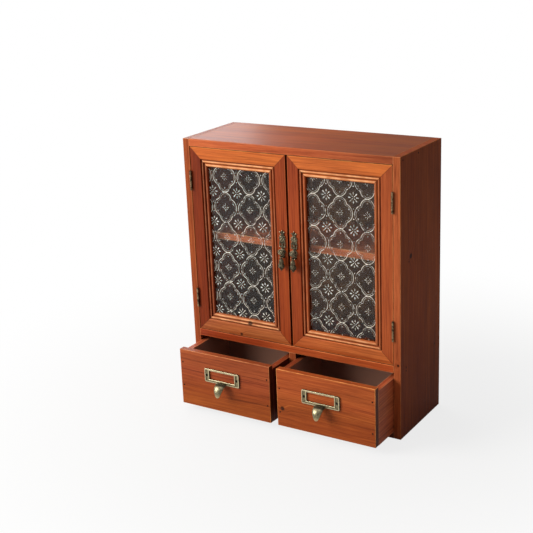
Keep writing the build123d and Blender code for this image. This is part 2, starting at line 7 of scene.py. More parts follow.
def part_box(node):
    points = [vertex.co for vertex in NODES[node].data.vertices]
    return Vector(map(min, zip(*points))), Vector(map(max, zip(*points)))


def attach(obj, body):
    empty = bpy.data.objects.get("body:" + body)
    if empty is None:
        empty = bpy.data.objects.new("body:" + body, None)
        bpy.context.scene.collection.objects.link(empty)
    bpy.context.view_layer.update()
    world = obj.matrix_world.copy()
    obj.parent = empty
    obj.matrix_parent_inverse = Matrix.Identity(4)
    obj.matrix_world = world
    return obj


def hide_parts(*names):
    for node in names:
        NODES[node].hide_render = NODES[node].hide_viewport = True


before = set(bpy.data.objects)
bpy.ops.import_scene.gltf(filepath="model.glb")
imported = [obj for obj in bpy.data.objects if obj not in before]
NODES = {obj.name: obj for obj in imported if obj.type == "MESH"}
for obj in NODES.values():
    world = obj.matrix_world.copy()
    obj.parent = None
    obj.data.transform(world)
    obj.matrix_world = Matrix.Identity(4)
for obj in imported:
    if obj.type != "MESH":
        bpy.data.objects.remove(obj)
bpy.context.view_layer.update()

# Desktop cabinet in stained pine: finishes on the carcass boards, the glazed doors and the drawers,
# and the cast pulls and pressed glass that stand for their plain solids. Metres throughout.

MM = 0.001
bpy.ops.object.select_all(action="DESELECT")


# ---- Shader arithmetic ------------------------------------------------------------------------


class Value:
    """One output of a finish's shader nodes, which takes part in sums."""

    def __init__(self, finish, socket):
        self.finish = finish
        self.socket = socket

    def output(self, index):
        """Another output of the same node."""
        return Value(self.finish, self.socket.node.outputs[index])

    def math(self, operation, first, second=0.0):
        return self.finish.node("Math", {"operation": operation}, {0: first, 1: second})

    def __add__(self, other):
        return self.math("ADD", self, other)

    def __radd__(self, other):
        return self.math("ADD", other, self)

    def __sub__(self, other):
        return self.math("SUBTRACT", self, other)

    def __rsub__(self, other):
        return self.math("SUBTRACT", other, self)

    def __mul__(self, other):
        return self.math("MULTIPLY", self, other)

    def __rmul__(self, other):
        return self.math("MULTIPLY", other, self)

    def __abs__(self):
        return self.math("ABSOLUTE", self)

    def __neg__(self):
        return self.math("MULTIPLY", self, -1.0)

    def at_most(self, other):
        return self.math("MINIMUM", self, other)

    def fade(self, start, end, low=0.0, high=1.0):
        """Smooth change from low at start to high at end."""
        settings = {"interpolation_type": "SMOOTHSTEP"}
        return self.finish.node("MapRange", settings, {0: self, 1: start, 2: end, 3: low, 4: high})


class Finish:
    """A material under way: nodes are added in order and end in its surface."""

    def __init__(self, name, owner=None):
        self.material = owner or bpy.data.materials.new(name)
        self.material.use_nodes = True
        self.tree = self.material.node_tree
        self.tree.nodes.clear()

    def node(self, kind, settings=None, sockets=None, output=0):
        """Add a node: its settings first, then the values or links of its sockets."""
        made = self.tree.nodes.new("ShaderNode" + kind)
        for name, value in (settings or {}).items():
            if name == "stops":
                self.place_stops(made.color_ramp.elements, value)
            else:
                setattr(made, name, value)
        for name, value in (sockets or {}).items():
            if isinstance(value, Value):
                self.tree.links.new(value.socket, made.inputs[name])
            else:
                made.inputs[name].default_value = value
        return Value(self, made.outputs[output]) if made.outputs else None

    def place_stops(self, elements, stops):
        """Give a ramp its stops, each a place and a colour or grey."""
        for index, (place, colour) in enumerate(stops):
            stop = elements[index] if index < 2 else elements.new(place)
            stop.position = place
            stop.color = colour if isinstance(colour, tuple) else (colour, colour, colour, 1)

    def place(self):
        """Object coordinates."""
        return self.node("TexCoord", output=3)

    def axes(self, vector):
        """The three numbers of a vector."""
        first = self.node("SeparateXYZ", {}, {0: vector})
        return first, first.output(1), first.output(2)

    def vector(self, x, y, z):
        return self.node("CombineXYZ", {}, {0: x, 1: y, 2: z})

    def noise(self, vector, scale, detail=2.0, rough=0.5):
        sockets = {"Vector": vector, "Scale": scale, "Detail": detail, "Roughness": rough}
        return self.node("TexNoise", {}, sockets)

    def ramp(self, value, stops):
        return self.node("ValToRGB", {"stops": stops}, {0: value})

    def blend(self, factor, first, second, kind="MIX"):
        """Mix of two colours."""
        settings = {"data_type": "RGBA", "blend_type": kind}
        return self.node("Mix", settings, {0: factor, 6: first, 7: second}, output=2)

    def bump(self, height, distance, strength):
        return self.node("Bump", {}, {"Height": height, "Distance": distance, "Strength": strength})

    def surface(self, sockets):
        """Principled surface, which ends the material."""
        shader = self.node("BsdfPrincipled", {}, sockets)
        self.node("OutputMaterial", {}, {0: shader})
        return self.material

    def wear(self, node):
        """The finished material goes on a CAD piece."""
        NODES[node].data.materials.clear()
        NODES[node].data.materials.append(self.material)


def shade(colour, tone=(1, 1, 1)):
    """Colour with alpha, made lighter or darker channel by channel."""
    return tuple(min(channel * part, 1.0) for channel, part in zip(colour, tone)) + (1.0,)


# ---- Stained pine -----------------------------------------------------------------------------

STAIN_DARK = (0.170, 0.034, 0.010)
STAIN = (0.330, 0.073, 0.021)
STAIN_LIGHT = (0.470, 0.122, 0.034)
RUBBED = (0.760, 0.300, 0.110)
# Painted highlight on the bead tops of the doors' mouldings
BEAD_HIGHLIGHT = (0.930, 0.450, 0.200)
# Dark of stain and painted shade in the mouldings' grooves, of painted shade on the wall by the glass,
# and of the mitre joints
DARK_STAIN_AND_SHADE = (0.075, 0.015, 0.005)
KNOT = (0.030, 0.008, 0.004)
RED_HEART = (0.93, 0.78, 0.86)
INSIDE_WOOD = (0.46, 0.255, 0.185)
# Painted shade on a door's outer edges, in the gaps round the door
DOOR_GAP_SHADE = (0.18, 0.18, 0.25)
# Painted shade on the faces behind a board's front edge, inside the carcass and between the drawers,
# with deeper stain on the drawer fronts' end grain
DEEP_STAIN_AND_SHADE = (0.30, 0.30, 0.40)
# Painted shade on a drawer side where it faces the gap between the drawers
GAP_SHADE = (0.42, 0.38, 0.50)
WORN_WIDTH = 1.1 * MM  # of the rubbed edge of a board
DENT = (1.7 * MM, 1.0 * MM)  # radius of a nail hole, and of its dark core
AXES = {"x": 0, "y": 1, "z": 2}


def mm(*numbers):
    """Millimetres as metres."""
    return tuple(number * MM for number in numbers)


def box_centre(node):
    """Centre of a piece's box, and half its size."""
    low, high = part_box(node)
    return (low + high) / 2, (high - low) / 2


def edge_wear(finish, node):
    """Mask along the edges of a board, from its own box."""
    centre, half = box_centre(node)
    near = []
    for index, value in enumerate(finish.axes(finish.place())):
        distance = half[index] - abs(value - centre[index])
        near.append(distance.fade(WORN_WIDTH, 0.2 * WORN_WIDTH))
    return (near[0] * near[1] + near[1] * near[2] + near[0] * near[2]).at_most(1.0)


def from_spot(finish, spot):
    """Distance from a place on the object."""
    return finish.node("VectorMath", {"operation": "DISTANCE"}, {0: finish.place(), 1: spot}, output=1)


def grain(finish, node, along, across, seed, knots):
    """Streaks, fibres and blotches that run along one axis of a board and bend round its knots."""
    centre = box_centre(node)[0]
    coordinates = finish.axes(finish.place())
    through = ({"x", "y", "z"} - {along, across}).pop()
    run, width, depth = (coordinates[AXES[axis]] - centre[AXES[axis]]
                         for axis in (along, across, through))
    core = 0.0
    for spot, radius in knots:
        distance = from_spot(finish, spot)
        width = width + distance.fade(4.0 * radius, 0.3 * radius) * radius * 1.3
        core = distance.fade(1.1 * radius, 0.5 * radius) + core
    drift = finish.noise(finish.vector(run * 6 + seed, width * 12, depth * 12), 1.0, 2.0) - 0.5
    width = width + drift * 0.008
    bands = finish.noise(finish.vector(run * 2.2 + seed, width * 75, depth * 30), 1.0, 3.0, 0.6)
    streaks = finish.noise(finish.vector(run * 9, width * 480 + seed, depth * 300), 1.0, 4.0, 0.7)
    late = finish.noise(finish.vector(run * 5, width * 420, depth * 200 + seed), 1.0, 2.0, 0.5)
    late = late.fade(0.56, 0.66)
    fibres = finish.noise(finish.vector(run * 60, width * 1500, depth * 1500 + seed), 1.0, 2.0, 0.5)
    blotches = finish.noise(finish.vector(run * 10 + seed, width * 26, depth * 26), 1.0, 3.0, 0.55)
    heart = finish.noise(finish.vector(run * 1.5 + seed, width * 24, depth * 24), 1.0, 2.0, 0.5)
    return bands, streaks, late, fibres, blotches, heart.fade(0.42, 0.60), core


def pine(node, along, across, seed, tone, edge=0.6, gloss=0.10, knots=(), dents=(), parts=()):
    """Stained and lacquered pine for one board."""
    finish = Finish("stained pine, " + node.replace("_", " "))
    figure = grain(finish, node, along, across, seed, knots)
    bands, streaks, late, fibres, blotches, heart, core = figure
    light = (bands - 0.5) * 0.40 + (streaks - 0.5) * 1.40 + (blotches - 0.5) * 0.40
    light = 0.5 + light - late * 0.15 + (fibres - 0.5) * 0.5
    stops = [(0.10, shade(STAIN_DARK, tone)), (0.5, shade(STAIN, tone)),
             (0.9, shade(STAIN_LIGHT, tone))]
    colour = finish.blend(heart * 0.6, finish.ramp(light, stops), shade(RED_HEART), "MULTIPLY")
    patchy = finish.noise(finish.place(), 40.0, 3.0, 0.55).fade(0.36, 0.62)
    rubbed = edge_wear(finish, node) * (0.35 + patchy * 0.65) * edge
    colour = finish.blend(rubbed, colour, shade(RUBBED, tone))
    if knots:
        colour = finish.blend(core.at_most(1.0) * 0.9, colour, shade(KNOT))
    for dent in dents:
        colour = finish.blend(from_spot(finish, dent).fade(*DENT) * 0.95, colour, shade(KNOT))
    for part in parts:
        colour = part(finish, colour)
    lacquer = 0.42 + (streaks - 0.5) * 0.12 + (fibres - 0.5) * 0.08
    relief = fibres * 0.5 + streaks * 0.4 - late * 0.15
    finish.surface({
        "Base Color": colour, "Roughness": lacquer, "Coat Weight": 0.04, "Coat Roughness": 0.25,
        "Specular IOR Level": gloss, "Normal": finish.bump(relief, 0.00010, 0.5)})
    finish.wear(node)


def stained_or_shaded(tone, start, end, axis="y"):
    """Darker colour on the part of a board that lies past an edge, by its place along one axis; used
    for deeper stain and for painted shade.
    """

    def stain_or_shade_part(finish, colour):
        past = finish.axes(finish.place())[AXES[axis]].fade(start, end)
        return finish.blend(past, colour, shade(tone), "MULTIPLY")

    return stain_or_shade_part


def bare(colour_there, node, face, axis, kind="MULTIPLY", amount=1.0):
    """Another colour on all of a board but its top edge, or on one of its faces."""
    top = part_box(node)[1].z

    def colour_part(finish, colour):
        coordinates = finish.axes(finish.place())
        below = coordinates[2].fade(top - 0.4 * MM, top - 0.9 * MM)
        if face is not None:
            below = below * coordinates[AXES[axis]].fade(*face)
        return finish.blend(below * amount, colour, shade(colour_there), kind)

    return colour_part


def marked(spot, radius):
    """Dark mark burnt into the wood at a place."""

    def mark(finish, colour):
        patch = from_spot(finish, spot).fade(radius, 0.45 * radius)
        return finish.blend(patch * 0.88, colour, shade(KNOT))

    return mark


# Inwards from a door's edge, in millimetres: its grooves with how dark their stain and painted shade
# are, its beads with their painted highlights, and the wall that faces the glass, which is painted as
# in shade.
GROOVES = ((18.3, 19.6, 0.62), (22.9, 24.2, 0.58))
BEAD_TOPS = ((20.2, 21.8), (25.4, 27.3))
GLASS_WALL = (28.6, 29.0)
WALL_DEPTH = (3.7, 4.3)  # behind the door's face, where that wall turns dark
FACE_DEPTH = (8.0, 7.0)  # and what still counts as the front


def band(value, start, end, before, after):
    """Mask between two distances in millimetres, which fades out on both sides."""
    return value.fade((start - before) * MM, start * MM) * value.fade((end + after) * MM, end * MM)


def moulding(side):
    """What stain and painted light and shade do on a door's mouldings, mitres and outer edges: stain
    and painted shade in the grooves, painted highlights on the bead tops, painted shade on the outer
    edges and on the wall by the glass, and dark mitre joints.
    """
    low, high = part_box("door_%s_bottom_rail" % side)[0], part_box("door_%s_top_rail" % side)[1]
    centre, half = (low + high) / 2, (high - low) / 2

    def finish_member(finish, colour):
        x, y, z = finish.axes(finish.place())
        across = half[0] - abs(x - centre[0])
        upwards = half[2] - abs(z - centre[2])
        inwards = across.at_most(upwards)
        front = y.fade(*(low[1] + depth * MM for depth in FACE_DEPTH))
        groove_dirt_and_shade = finish.noise(finish.place(), 110.0, 2.0).fade(0.30, 0.62, 0.75, 1.0)
        # Stain and painted shade in the grooves, uneven along them
        for start, end, dark in GROOVES:
            dip = band(inwards, start, end, 0.5, 0.5)
            colour = finish.blend(dip * front * groove_dirt_and_shade * dark, colour, shade(DARK_STAIN_AND_SHADE))
        patchy = finish.noise(finish.place(), 60.0, 2.0).fade(0.35, 0.62, 0.45, 1.0)
        # Painted highlight, strong on the rails, whose beads face up, and weak on the stiles
        rub = (across - upwards).fade(-1.0 * MM, 1.0 * MM, 0.16, 0.88)
        for start, end in BEAD_TOPS:
            top = band(inwards, start, end, 0.6, 0.7)
            colour = finish.blend(top * front * patchy * rub, colour, shade(BEAD_HIGHLIGHT))
        # Painted shade on the door's outer edges, where they face the gaps
        sides = across.at_most(high[2] - z)
        outer_edge_shade = sides.fade(0.5 * MM, 0.2 * MM) * y.fade(low[1] + 1.0 * MM, low[1] + 2.0 * MM)
        colour = finish.blend(outer_edge_shade, colour, shade(DOOR_GAP_SHADE), "MULTIPLY")
        # Painted shade on the wall that faces the glass
        wall = inwards.fade(*mm(*GLASS_WALL)) * y.fade(*(low[1] + depth * MM for depth in WALL_DEPTH))
        colour = finish.blend(wall * 0.8, colour, shade(DARK_STAIN_AND_SHADE))
        mitre = abs(across - upwards).fade(0.75 * MM, 0.1 * MM)
        mitre = mitre * inwards.fade(1.0 * MM, 3.0 * MM, 0.4, 0.85)
        return finish.blend(mitre, colour, shade(DARK_STAIN_AND_SHADE))

    return finish_member


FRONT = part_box("side_panel_right")[0].y
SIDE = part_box("side_panel_right")[1].x
DRAWER_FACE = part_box("drawer_right_front")[0].y
DOOR_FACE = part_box("door_right_top_rail")[0].y
EDGE_BACK = (FRONT + 0.5 * MM, FRONT + 1.2 * MM)  # where a front edge ends

# Painted shade: the top's face is darker than its front edge, and darker again towards its right end
pine("top_panel", "x", "y", 1.7, (1.38, 1.31, 1.42), gloss=0.06, edge=0.35,
     parts=[stained_or_shaded((0.78, 0.76, 0.38), *EDGE_BACK), stained_or_shaded((0.68, 0.72, 0.78), -0.04, 0.16, "x")])
pine("side_panel_left", "z", "y", 3.1, (0.9, 0.9, 0.9), gloss=0.03)
# Painted shade: the right side panel's face is darker than its front edge, and darker again towards its
# foot
pine("side_panel_right", "z", "y", 5.9, (1.40, 1.62, 1.78), gloss=0.02, edge=0.3,
     knots=[((SIDE, FRONT + 33.9 * MM, 0.2718), 0.0048), ((0.1759, FRONT, 0.1164), 0.0025)],
     dents=[(SIDE, FRONT + back * MM, height * MM) for back, height in (
         (8, 414.5), (58, 414.5), (27.5, 265), (18.4, 107.3), (18.3, 102.5), (119.5, 107.9))],
     parts=[stained_or_shaded((0.65, 0.50, 0.31), *EDGE_BACK), stained_or_shaded((0.72, 0.66, 0.62), 0.26, 0.02, "z")])
# Painted shadow: the middle panel is darker towards its left end, under the left door
pine("middle_panel", "x", "z", 7.3, (1.35, 1.08, 0.92),
     parts=[stained_or_shaded((0.66, 0.50, 0.44), -0.02, -0.07, "x"), stained_or_shaded(DEEP_STAIN_AND_SHADE, *EDGE_BACK)])
pine("bottom_panel", "x", "y", 8.8, (0.6, 0.6, 0.6), parts=[stained_or_shaded(DEEP_STAIN_AND_SHADE, *EDGE_BACK)])
# Painted light: the shelf is made much lighter, standing in for the light that the glass keeps off it
pine("shelf", "x", "z", 2.2, (1.9, 2.2, 2.6))
pine("drawer_partition", "z", "y", 4.4, (1.0, 1.0, 1.0), parts=[stained_or_shaded(DEEP_STAIN_AND_SHADE, *EDGE_BACK)])
pine("back_panel", "z", "x", 21.7, (0.44, 0.86, 1.15))

# Each drawer's and each door's own marks, and tones that hold painted light and shade along with the
# stain; heights of the nail holes in millimetres.
DRAWER_DENTS = {"left": {"inner": (38.0, 80.0), "outer": (42.0, 80.5)},
                "right": {"inner": (33.0, 71.0), "outer": (32.0, 81.0)}}
DRAWER_KNOTS = {"left": [], "right": [((0.015, DRAWER_FACE, 0.0395), 0.0042)]}
DOOR_KNOTS = {"left": [((-0.0906, DOOR_FACE, 0.1185), 0.003)], "right": []}
# Painted light and shade in the door tones: the rails lighter than the stiles, and the left door's
# hinge stile much darker
DOOR_TONES = {
    "left": {"top_rail": (1.59, 1.66, 1.03), "bottom_rail": (1.26, 1.56, 1.52),
             "hinge_stile": (0.57, 0.34, 0.16), "meeting_stile": (0.90, 0.64, 0.41)},
    "right": {"top_rail": (1.66, 1.74, 1.23), "bottom_rail": (1.54, 1.68, 1.45),
              "hinge_stile": (1.17, 1.15, 1.00), "meeting_stile": (0.92, 0.68, 0.48)}}
DRAWER_TONES = {"left": (0.96, 0.90, 0.90), "right": (1.20, 1.16, 0.90)}
# Painted shade: the drawer fronts darker towards their foot
DRAWER_FOOT_SHADE = {"left": (0.89, 0.89, 0.53), "right": (0.79, 0.77, 0.62)}
POOLED = stained_or_shaded((0.78, 0.64, 0.54), 0.1225, 0.1185, "z")  # stain that ran to the foot of a door
SCORCH = {"left": [marked((-0.0745, DOOR_FACE + 1 * MM, 0.1385), 5.5 * MM)], "right": []}


def inner_face(board, drawer):
    """Where a drawer's side turns from its inner face to its other ones, along X."""
    low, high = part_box(board)
    if high.x < box_centre(drawer + "_front")[0].x:
        return high.x - 1.2 * MM, high.x - 0.6 * MM
    return low.x + 1.2 * MM, low.x + 0.6 * MM


def inside(board, face=None):
    """Paler unfinished wood inside a drawer."""
    return bare(INSIDE_WOOD, board, face, "x", "MIX", 0.9)


for side, seed in (("left", 11.3), ("right", 17.9)):
    drawer, door = "drawer_" + side, "door_" + side
    dents = []
    for place, heights in DRAWER_DENTS[side].items():
        middle = box_centre(drawer + "_side_" + place)[0].x
        dents += [(middle, DRAWER_FACE, height * MM) for height in heights]
    ends = (DRAWER_FACE + 0.6 * MM, DRAWER_FACE + 1.2 * MM)
    pine(drawer + "_front", "x", "z", seed, DRAWER_TONES[side], edge=1.0,
         knots=DRAWER_KNOTS[side], dents=dents,
         parts=[bare(DEEP_STAIN_AND_SHADE, drawer + "_front", ends, "y"),
                stained_or_shaded(DRAWER_FOOT_SHADE[side], 0.075, 0.035, "z")])
    # The inner side is darker on all but its top edge and its inner face: painted shade in the gap
    # between the drawers
    board = drawer + "_side_inner"
    pine(board, "y", "z", seed + 1.1, (0.85, 0.80, 0.90),
         parts=[bare(GAP_SHADE, board, None, "x"), inside(board, inner_face(board, drawer))])
    # The outer side is painted lighter than the other boards, partly as painted light on a face that
    # the lamps reach little
    board = drawer + "_side_outer"
    pine(board, "y", "z", seed + 2.7, (1.40, 1.48, 1.85),
         parts=[inside(board, inner_face(board, drawer))])
    pine(drawer + "_back", "x", "z", seed + 3.9, (0.6, 0.6, 0.6), parts=[inside(drawer + "_back")])
    pine(drawer + "_bottom", "x", "y", seed + 4.2, (1.0, 1.0, 1.0), parts=[inside(drawer + "_bottom")])
    for shift, (member, tone) in enumerate(DOOR_TONES[side].items()):
        along, across = ("z", "x") if member.endswith("stile") else ("x", "z")
        pine("%s_%s" % (door, member), along, across, seed + 5.3 + 0.9 * shift, tone, edge=0.35,
             knots=DOOR_KNOTS[side] if member == "bottom_rail" else (),
             parts=[moulding(side), POOLED] + SCORCH[side])
    pine(door + "_glazing_beads", "z", "x", seed + 9.1, (0.8, 0.8, 0.8))


# ---- Metal, glass and plastic -----------------------------------------------------------------

PATINA_SCALE = 260.0
SIDES = ("left", "right")
LEAVES = ["hinge_leaf_%s_%s" % (side, level) for side in SIDES for level in ("upper", "lower")]
LEAVES += ["door_%s_hinge_leaf_%s" % (side, level) for side in SIDES for level in ("upper", "lower")]
DARK_FIXINGS = ["carcass_brads", "back_panel_nails", "drawer_left_brads", "drawer_right_brads",
                "drawer_left_card_frame_screws", "drawer_right_card_frame_screws",
                "door_left_screws", "door_right_screws", "carcass_screws",
                "door_left_pull_pins", "door_right_pull_pins"]
PULLS = ["door_left_pull_plate", "door_right_pull_plate", "door_left_pull_drop", "door_right_pull_drop"]
STRIKE_PLATES = ["door_left_strike_plate", "door_right_strike_plate"]
METALS = [
    ("bronzed steel", (0.035, 0.022, 0.013), (0.42, 0.29, 0.16), 0.32, LEAVES + ["hinge_pins"]),
    ("blackened steel", (0.012, 0.010, 0.009), (0.05, 0.045, 0.04), 0.5, DARK_FIXINGS),
    ("antique brass", (0.10, 0.085, 0.05), (0.50, 0.42, 0.26), 0.36, PULLS),
    ("zinc plated steel", (0.40, 0.40, 0.41), (0.62, 0.62, 0.63), 0.35, STRIKE_PLATES),
    ("catch magnets", (0.10, 0.10, 0.11), (0.22, 0.22, 0.23), 0.5, ["catch_magnets"])]

for name, dark, light, rough, worn_by in METALS:
    finish = Finish(name)
    cloud = finish.noise(finish.place(), PATINA_SCALE, 4.0, 0.6)
    fine = finish.noise(finish.place(), PATINA_SCALE * 6, 2.0)
    finish.surface({
        "Base Color": finish.blend(cloud.fade(0.35, 0.68), shade(dark), shade(light)), "Metallic": 1.0,
        "Roughness": rough + (cloud - 0.5) * 0.3, "Normal": finish.bump(fine, 0.00004, 0.5)})
    for node in worn_by:
        finish.wear(node)

plastic = Finish("brown moulded plastic")
speck = plastic.noise(plastic.place(), 900.0, 2.0)
plastic.surface({
    "Base Color": plastic.blend(speck, shade((0.05, 0.022, 0.012)), shade((0.07, 0.03, 0.018))),
    "Roughness": 0.45, "Normal": plastic.bump(speck, 0.00003, 0.4)})
plastic.wear("catch_case")

glass = Finish("pressed glass")
ripple = glass.noise(glass.place(), 240.0, 2.0) + glass.noise(glass.place(), 900.0, 1.0) * 0.35
glass.surface({"Base Color": (0.93, 0.95, 0.94, 1), "Transmission Weight": 1.0, "Roughness": 0.05,
               "IOR": 1.3, "Normal": glass.bump(ripple, 0.0008, 0.5)})
glass.wear("door_left_glass")
glass.wear("door_right_glass")


# ---- Modelling --------------------------------------------------------------------------------


def deselect():
    bpy.ops.object.select_all(action="DESELECT")


def only(piece):
    """The piece becomes the one that is selected and active."""
    deselect()
    piece.select_set(True)
    bpy.context.view_layer.objects.active = piece


def apply_place(piece):
    """The object's place goes into its mesh."""
    only(piece)
    bpy.ops.object.transform_apply(location=True, rotation=True, scale=True)
    return piece


def cut_away(piece, cuts):
    """Cut a piece along planes, each a point and the direction that is dropped."""
    only(piece)
    bpy.ops.object.mode_set(mode="EDIT")
    for point, outwards in cuts:
        bpy.ops.mesh.select_all(action="SELECT")
        bpy.ops.mesh.bisect(plane_co=point, plane_no=outwards, use_fill=True, clear_outer=True)
    bpy.ops.object.mode_set(mode="OBJECT")
    return piece


def joined(pieces):
    """One object from several."""
    deselect()
    for piece in pieces:
        piece.select_set(True)
    bpy.context.view_layer.objects.active = pieces[0]
    bpy.ops.object.join()
    return pieces[0]


def applied(piece, kind, **settings):
    """Add a modifier, set it and apply it."""
    modifier = piece.modifiers.new(kind.lower(), kind)
    for name, value in settings.items():
        setattr(modifier, name, value)
    bpy.context.view_layer.objects.active = piece
    bpy.ops.object.modifier_apply(modifier=modifier.name)
    return piece


def copied(piece, shift, turn=0.0):
    """Copy with its own mesh, turned about the Y axis through the origin and then shifted."""
    copy = piece.copy()
    copy.data = piece.data.copy()
    bpy.context.collection.objects.link(copy)
    copy.rotation_euler = (0, math.radians(turn), 0)
    copy.location = shift
    return apply_place(copy)


BEND_STEP = 0.9 * MM  # a bent bar has two faces for each of these in its radius


def arc(centre, radius, start, end, thick):
    """Round bar bent to part of a circle in the XZ plane, between two angles in degrees."""
    x, z = centre
    bpy.ops.mesh.primitive_torus_add(
        location=(x, 0, z), rotation=(math.pi / 2, 0, 0), major_radius=radius, minor_radius=thick,
        major_segments=max(24, round(radius / BEND_STEP) * 2), minor_segments=8)
    piece = apply_place(bpy.context.object)
    low, high = math.radians(start), math.radians(end)
    return cut_away(piece, [((x, 0, z), (math.sin(low), 0, -math.cos(low))),
                            ((x, 0, z), (-math.sin(high), 0, math.cos(high)))])


def ring(at, radius, thick, stretch=1.0, turn=0.0):
    """Closed round bar in the XZ plane, stretched along Z and then turned."""
    bpy.ops.mesh.primitive_torus_add(
        location=(0, 0, 0), rotation=(math.pi / 2, 0, 0), major_radius=radius, minor_radius=thick,
        major_segments=24, minor_segments=8)
    piece = apply_place(bpy.context.object)
    piece.scale = (1, 1, stretch)
    apply_place(piece)
    piece.rotation_euler = (0, math.radians(turn), 0)
    piece.location = at
    return apply_place(piece)


def ball(at, radii, turn=0.0, segments=16):
    """Ellipsoid at a place, turned about the Y axis in degrees."""
    bpy.ops.mesh.primitive_uv_sphere_add(
        segments=segments, ring_count=segments // 2 + 1, radius=1, location=at,
        rotation=(0, math.radians(turn), 0), scale=radii)
    return apply_place(bpy.context.object)


def leaf(radii):
    """Leaf at the origin that points up, with its upper half drawn in to a tip."""
    bpy.ops.mesh.primitive_uv_sphere_add(segments=12, ring_count=8, radius=1, scale=radii)
    piece = apply_place(bpy.context.object)
    for level, size in ((0.3, 0.8), (0.75, 0.3)):
        bpy.ops.object.mode_set(mode="EDIT")
        bpy.ops.mesh.select_mode(type="VERT")
        bpy.ops.mesh.select_all(action="DESELECT")
        bpy.ops.object.mode_set(mode="OBJECT")
        for vertex in piece.data.vertices:
            vertex.select = vertex.co.z > level * radii[2]
        bpy.ops.object.mode_set(mode="EDIT")
        bpy.ops.transform.resize(value=(size, 1, 1))
        bpy.ops.object.mode_set(mode="OBJECT")
    return piece


# ---- Relief of the pressed glass --------------------------------------------------------------

CELL = (43.3 * MM, 47.6 * MM)
LINE = 0.46 * MM
THIN_LINE = 0.16 * MM
DOT = 0.85 * MM  # radius of a single dot
DOT_HEIGHT = 0.7 * MM
LOBE_CENTRE = (5.5 * MM, 0)
LOBE_RADIUS = 14.5 * MM
POINT_CENTRE = (-1.09 * MM, 11.84 * MM)
POINT_RADIUS = 12.0 * MM
SINGLE_DOTS = ((0, 17.4), (0, -17.4), (14.0, 6.2), (14.0, -6.2), (-14.0, 6.2), (-14.0, -6.2),
               (21.65, 7.5), (21.65, -7.5))
LINES = ((0.0, LINE, 68.6, 7.9), (2.4 * MM, THIN_LINE, 75.6, -0.7))  # inset, thickness, cusp's angles
BEHIND = ((0, 0.03 * MM, 0), (0, 1, 0))  # what would lie inside the pane
COLUMNS, ROWS = range(-4, 5), range(-6, 7)  # cells about the middle one, more than a pane needs
LAP = 5.05 * MM  # of the frame over the pane
CELL_CENTRES = {"left": (-68.5 * MM, 270.5 * MM), "right": (83.7 * MM, 236.3 * MM)}


def petals(count, reach, radii, offset=0.0):
    """Ring of leaves that point outwards."""
    petal = leaf(radii)
    parts = []
    for step in range(count):
        turn = 360 / count * (step + offset)
        angle = math.radians(turn)
        parts.append(copied(petal, (reach * math.sin(angle), 0, reach * math.cos(angle)), turn))
    bpy.data.objects.remove(petal)
    return parts


def blossom():
    """Two rings of petals round a middle dot, pale with painted glints like the dots."""
    return (petals(8, 6.4 * MM, mm(0.95, 0.7, 2.1)) + petals(4, 2.7 * MM, mm(0.7, 0.6, 1.1), 0.5)
            + [ball((0, 0, 0), mm(0.6, 0.6, 0.6), segments=8)])


def flower():
    """Slender petals, long and short by turns, round a middle dot."""
    return (petals(4, 4.3 * MM, mm(0.5, 0.45, 1.9)) + petals(4, 3.6 * MM, mm(0.45, 0.45, 1.2), 0.5)
            + [ball((0, 0, 0), mm(0.7, 0.55, 0.7), segments=8)])


def relief_cell():
    """One lobed cell about the origin: its lines with a flower, and its dots with a blossom."""
    quarter = []
    for inset, thick, lobe_end, point_start in LINES:
        quarter.append(arc(LOBE_CENTRE, LOBE_RADIUS - inset, 0, lobe_end, thick))
        pointed = arc(POINT_CENTRE, POINT_RADIUS - inset, point_start, 90, thick)
        quarter.append(cut_away(pointed, [((0, 0, 0), (-1, 0, 0))]))
    cell = joined([cut_away(bar, [BEHIND]) for bar in quarter])
    applied(cell, "MIRROR", use_axis=(True, False, True), use_mirror_merge=False)
    middle = joined([cut_away(part, [BEHIND]) for part in flower()])
    corner = joined([cut_away(part, [BEHIND]) for part in blossom()])
    corner.location = (CELL[0] / 2, 0, CELL[1] / 2)
    apply_place(corner)
    dots = [ball(mm(x, 0, z), (DOT, DOT_HEIGHT, DOT), segments=8) for x, z in SINGLE_DOTS]
    return joined([cell, middle]), joined([corner] + [cut_away(dot, [BEHIND]) for dot in dots])


def spread(pattern, side, kind, finish):
    """One part of the pattern repeated over a pane, and cut off at the frame."""
    point = CELL_CENTRES[side]
    low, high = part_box("door_%s_glass" % side)
    spots = [(point[0] + column * CELL[0], point[1] + row * CELL[1])
             for column in COLUMNS for row in ROWS]
    near = [(x, z) for x, z in spots
            if low.x - CELL[0] < x < high.x + CELL[0] and low.z - CELL[1] < z < high.z + CELL[1]]
    cells = [copied(pattern, (x, low.y, z)) for x, z in near]
    bpy.data.objects.remove(pattern)
    relief = cut_away(joined(cells), [
        ((low.x + LAP, 0, 0), (-1, 0, 0)), ((high.x - LAP, 0, 0), (1, 0, 0)),
        ((0, 0, low.z + LAP), (0, 0, -1)), ((0, 0, high.z - LAP), (0, 0, 1))])
    relief.name = "door_%s_glass_%s" % (side, kind)
    relief.data.materials.clear()
    relief.data.materials.append(finish.material)
    bpy.ops.object.shade_smooth_by_angle(angle=math.radians(40))
    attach(relief, "door_" + side)


def glass_relief(side):
    """Raised pattern over one pane: its lines, and the dots, which carry painted glints."""
    lines, dots = relief_cell()
    spread(lines, side, "relief", relief_glass)
    spread(dots, side, "dots", painted_glint_dots)


